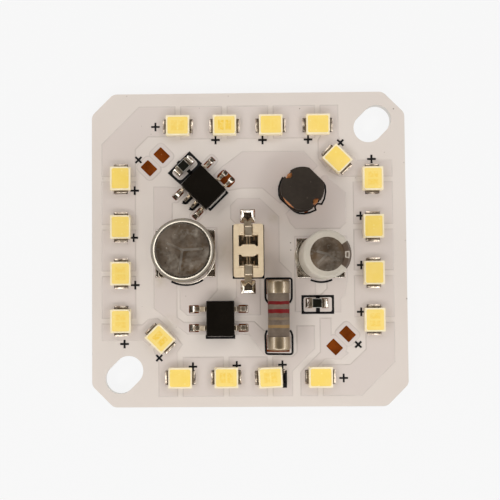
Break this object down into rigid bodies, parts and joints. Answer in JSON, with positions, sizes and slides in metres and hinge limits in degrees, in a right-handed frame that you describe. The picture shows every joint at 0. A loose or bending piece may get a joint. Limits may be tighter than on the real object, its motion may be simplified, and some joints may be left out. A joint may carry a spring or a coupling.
{
  "type": "driver-on-board led module",
  "caption": "Square aluminium-core light board with two diagonal screw slots, a ring of surface-mount white diodes and, inside it, a mains driver with a bottom-entry pin connector.",
  "frame": {"origin": "middle of the board's outline, on the board's underside", "axes": "+Z out of the component side, +X and +Y along the board's edges, the screw slots in the +X +Y and -X -Y corners"},
  "size_m": [0.043, 0.043, 0.0115],
  "materials": {
    "alumina": "matte",
    "bare_copper": "bare, slightly tarnished",
    "base_aluminium": "satin, with a sheared edge",
    "can_aluminium": "drawn, satin",
    "connector_nylon": "fine moulded grain",
    "dielectric_resin": "filled epoxy, seen only at the edges",
    "enamelled_wire": "enamelled, glossy",
    "ferrite": "sintered, matte",
    "led_die": "polished",
    "led_housing": "satin moulded",
    "led_phosphor": "soft silicone, semi-gloss",
    "package_epoxy": "fine moulded grain",
    "print_ink": "printed ink, matte",
    "resistor_glaze": "glazed",
    "resistor_lacquer": "lacquered, with colour bands",
    "seal_rubber": "matte",
    "silver_plating": "plated, satin",
    "sleeve_film": "shrunk film",
    "solder_tin": "reflowed, bright and wavy",
    "tin_plating": "plated, satin",
    "white_mask": "semi-gloss, slightly uneven",
    "wound_foil": "wound foil and paper"
  },
  "bodies": {
    "root": {"aluminium_base": "base_aluminium", "bleed_resistor_body": "alumina", "bleed_resistor_caps": "tin_plating", "bleed_resistor_coating": "resistor_glaze", "bridge_body": "package_epoxy", "bridge_leads": "tin_plating", "capacitor_1_can": "can_aluminium", "capacitor_1_element": "wound_foil", "capacitor_1_leads": "tin_plating", "capacitor_1_seal": "seal_rubber", "capacitor_2_can": "can_aluminium", "capacitor_2_element": "wound_foil", "capacitor_2_leads": "tin_plating", "capacitor_2_seal": "seal_rubber", "capacitor_2_sleeve": "sleeve_film", "component_solder": "solder_tin", "connector_contact_lower": "tin_plating", "connector_contact_upper": "tin_plating", "connector_housing": "connector_nylon", "copper_circuit": "bare_copper", "dielectric_layer": "dielectric_resin", "driver_chip_body": "package_epoxy", "driver_chip_leads": "tin_plating", "fuse_resistor_body": "resistor_lacquer", "fuse_resistor_caps": "tin_plating", "inductor_core": "ferrite", "inductor_terminals": "tin_plating", "inductor_winding": "enamelled_wire", "led_01_housing": "led_housing", "led_02_housing": "led_housing", "led_03_housing": "led_housing", "led_04_housing": "led_housing", "led_05_housing": "led_housing", "led_06_housing": "led_housing", "led_07_housing": "led_housing", "led_08_housing": "led_housing", "led_09_housing": "led_housing", "led_10_housing": "led_housing", "led_11_housing": "led_housing", "led_12_housing": "led_housing", "led_13_housing": "led_housing", "led_14_housing": "led_housing", "led_15_housing": "led_housing", "led_16_housing": "led_housing", "led_17_housing": "led_housing", "led_18_housing": "led_housing", "led_dies": "led_die", "led_phosphor": "led_phosphor", "led_solder": "solder_tin", "led_terminals": "silver_plating", "sense_resistor_body": "alumina", "sense_resistor_caps": "tin_plating", "sense_resistor_coating": "resistor_glaze", "solder_mask": "white_mask"}
  },
  "joints": []
}
